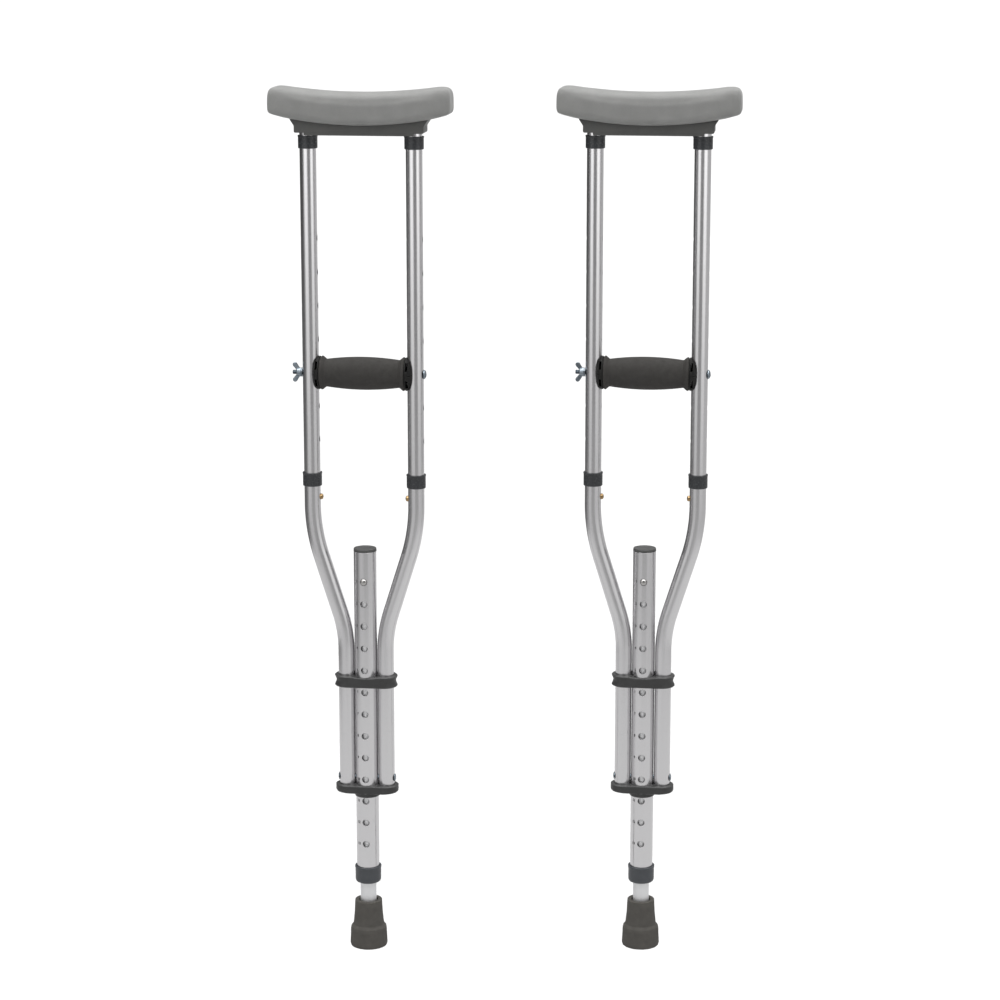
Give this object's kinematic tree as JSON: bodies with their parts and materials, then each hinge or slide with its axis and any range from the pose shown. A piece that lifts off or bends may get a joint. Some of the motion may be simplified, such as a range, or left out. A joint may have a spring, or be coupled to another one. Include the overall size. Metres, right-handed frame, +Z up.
{
  "type": "underarm crutches",
  "caption": "Height-adjustable aluminium underarm crutches: padded tops, handgrips held by wing nuts, bowed side tubes, legs locked by spring buttons, and rubber tips.",
  "frame": {"origin": "on the floor, midway between the two crutches' axes, sideways and front to back", "axes": "+Z up along the crutches, +X from the left crutch to the right one and across each crutch's side tubes, and the legs' height holes face -Y"},
  "size_m": [0.509, 0.082, 0.9731],
  "materials": {
    "pad_foam": "matt grey foam rubber skin",
    "base_plastic": "matt dark grey moulding",
    "collar_plastic": "satin blue-black moulding",
    "clamp_plastic": "satin black moulding",
    "grip_rubber": "matt brown-grey soft grip",
    "saddle_plastic": "matt black moulding",
    "tip_rubber": "matt dark grey rubber",
    "aluminium": "satin clear anodised tube",
    "zinc_steel": "bright zinc plate",
    "brass": "plain brass"
  },
  "bodies": {
    "frames": {"left_crutch_underarm_pad": "pad_foam", "left_crutch_pad_base": "base_plastic", "left_crutch_upper_tube_a": "aluminium", "left_crutch_upper_tube_b": "aluminium", "left_crutch_top_collar_a": "collar_plastic", "left_crutch_top_collar_b": "collar_plastic", "left_crutch_joint_collar_a": "collar_plastic", "left_crutch_joint_collar_b": "collar_plastic", "left_crutch_bow_tube_a": "aluminium", "left_crutch_bow_tube_b": "aluminium", "left_crutch_upper_clamp": "clamp_plastic", "left_crutch_lower_clamp": "clamp_plastic", "left_crutch_clamp_rivet_a": "zinc_steel", "left_crutch_clamp_rivet_b": "zinc_steel", "left_crutch_centre_tube": "aluminium", "left_crutch_centre_tube_cap": "clamp_plastic", "left_crutch_leg_collar": "collar_plastic", "right_crutch_underarm_pad": "pad_foam", "right_crutch_pad_base": "base_plastic", "right_crutch_upper_tube_a": "aluminium", "right_crutch_upper_tube_b": "aluminium", "right_crutch_top_collar_a": "collar_plastic", "right_crutch_top_collar_b": "collar_plastic", "right_crutch_joint_collar_a": "collar_plastic", "right_crutch_joint_collar_b": "collar_plastic", "right_crutch_bow_tube_a": "aluminium", "right_crutch_bow_tube_b": "aluminium", "right_crutch_upper_clamp": "clamp_plastic", "right_crutch_lower_clamp": "clamp_plastic", "right_crutch_clamp_rivet_a": "zinc_steel", "right_crutch_clamp_rivet_b": "zinc_steel", "right_crutch_centre_tube": "aluminium", "right_crutch_centre_tube_cap": "clamp_plastic", "right_crutch_leg_collar": "collar_plastic"},
    "left_crutch_leg": {"left_crutch_leg_tube": "aluminium", "left_crutch_rubber_tip": "tip_rubber", "left_crutch_tip_washer": "zinc_steel"},
    "left_crutch_leg_button": {"left_crutch_leg_snap_button": "zinc_steel"},
    "left_crutch_side_button_a": {"left_crutch_side_snap_button_a": "brass"},
    "left_crutch_side_button_b": {"left_crutch_side_snap_button_b": "brass"},
    "left_crutch_grip": {"left_crutch_grip_sleeve": "grip_rubber", "left_crutch_grip_core": "saddle_plastic", "left_crutch_grip_saddle_a": "saddle_plastic", "left_crutch_grip_saddle_b": "saddle_plastic", "left_crutch_grip_bolt": "zinc_steel"},
    "left_crutch_nut_washer": {"left_crutch_nut_washer": "zinc_steel"},
    "left_crutch_wing_nut": {"left_crutch_wing_nut": "zinc_steel"},
    "right_crutch_leg": {"right_crutch_leg_tube": "aluminium", "right_crutch_rubber_tip": "tip_rubber", "right_crutch_tip_washer": "zinc_steel"},
    "right_crutch_leg_button": {"right_crutch_leg_snap_button": "zinc_steel"},
    "right_crutch_side_button_a": {"right_crutch_side_snap_button_a": "brass"},
    "right_crutch_side_button_b": {"right_crutch_side_snap_button_b": "brass"},
    "right_crutch_grip": {"right_crutch_grip_sleeve": "grip_rubber", "right_crutch_grip_core": "saddle_plastic", "right_crutch_grip_saddle_a": "saddle_plastic", "right_crutch_grip_saddle_b": "saddle_plastic", "right_crutch_grip_bolt": "zinc_steel"},
    "right_crutch_nut_washer": {"right_crutch_nut_washer": "zinc_steel"},
    "right_crutch_wing_nut": {"right_crutch_wing_nut": "zinc_steel"}
  },
  "joints": [
    {"name": "left_crutch_leg_height", "type": "slide", "parent": "frames", "child": "left_crutch_leg", "axis": [0, 0, -1], "range_m": [0, 0.3048]},
    {"name": "left_crutch_leg_button_press", "type": "slide", "parent": "left_crutch_leg", "child": "left_crutch_leg_button", "axis": [0, 1, 0], "range_m": [0, 0.0038], "stiffness_N_per_m": 1200, "springref_m": -0.002},
    {"name": "left_crutch_side_button_a_press", "type": "slide", "parent": "frames", "child": "left_crutch_side_button_a", "axis": [-1, 0, 0], "range_m": [0, 0.0044], "stiffness_N_per_m": 1200, "springref_m": -0.002},
    {"name": "left_crutch_side_button_b_press", "type": "slide", "parent": "frames", "child": "left_crutch_side_button_b", "axis": [1, 0, 0], "range_m": [0, 0.0044], "stiffness_N_per_m": 1200, "springref_m": -0.002},
    {"name": "left_crutch_grip_height", "type": "slide", "parent": "frames", "child": "left_crutch_grip", "axis": [0, 0, 1], "range_m": [-0.074, 0.148]},
    {"name": "left_crutch_wing_nut_travel", "type": "slide", "parent": "left_crutch_grip", "child": "left_crutch_nut_washer", "axis": [-1, 0, 0], "range_m": [0, 0.004]},
    {"name": "left_crutch_wing_nut_turn", "type": "hinge", "parent": "left_crutch_nut_washer", "child": "left_crutch_wing_nut", "pos_m": [-0.2265, -0.019, 0.661], "axis": [-1, 0, 0], "range_deg": [0, 1800]},
    {"name": "right_crutch_leg_height", "type": "slide", "parent": "frames", "child": "right_crutch_leg", "axis": [0, 0, -1], "range_m": [0, 0.3048]},
    {"name": "right_crutch_leg_button_press", "type": "slide", "parent": "right_crutch_leg", "child": "right_crutch_leg_button", "axis": [0, 1, 0], "range_m": [0, 0.0038], "stiffness_N_per_m": 1200, "springref_m": -0.002},
    {"name": "right_crutch_side_button_a_press", "type": "slide", "parent": "frames", "child": "right_crutch_side_button_a", "axis": [-1, 0, 0], "range_m": [0, 0.0044], "stiffness_N_per_m": 1200, "springref_m": -0.002},
    {"name": "right_crutch_side_button_b_press", "type": "slide", "parent": "frames", "child": "right_crutch_side_button_b", "axis": [1, 0, 0], "range_m": [0, 0.0044], "stiffness_N_per_m": 1200, "springref_m": -0.002},
    {"name": "right_crutch_grip_height", "type": "slide", "parent": "frames", "child": "right_crutch_grip", "axis": [0, 0, 1], "range_m": [-0.074, 0.148]},
    {"name": "right_crutch_wing_nut_travel", "type": "slide", "parent": "right_crutch_grip", "child": "right_crutch_nut_washer", "axis": [-1, 0, 0], "range_m": [0, 0.004]},
    {"name": "right_crutch_wing_nut_turn", "type": "hinge", "parent": "right_crutch_nut_washer", "child": "right_crutch_wing_nut", "pos_m": [0.0815, 0.019, 0.661], "axis": [-1, 0, 0], "range_deg": [0, 1800]}
  ],
  "couplings": [
    {"joint": "left_crutch_wing_nut_travel", "follows": "left_crutch_wing_nut_turn", "m_per_rad": 0.000127},
    {"joint": "right_crutch_wing_nut_travel", "follows": "right_crutch_wing_nut_turn", "m_per_rad": 0.000127}
  ]
}
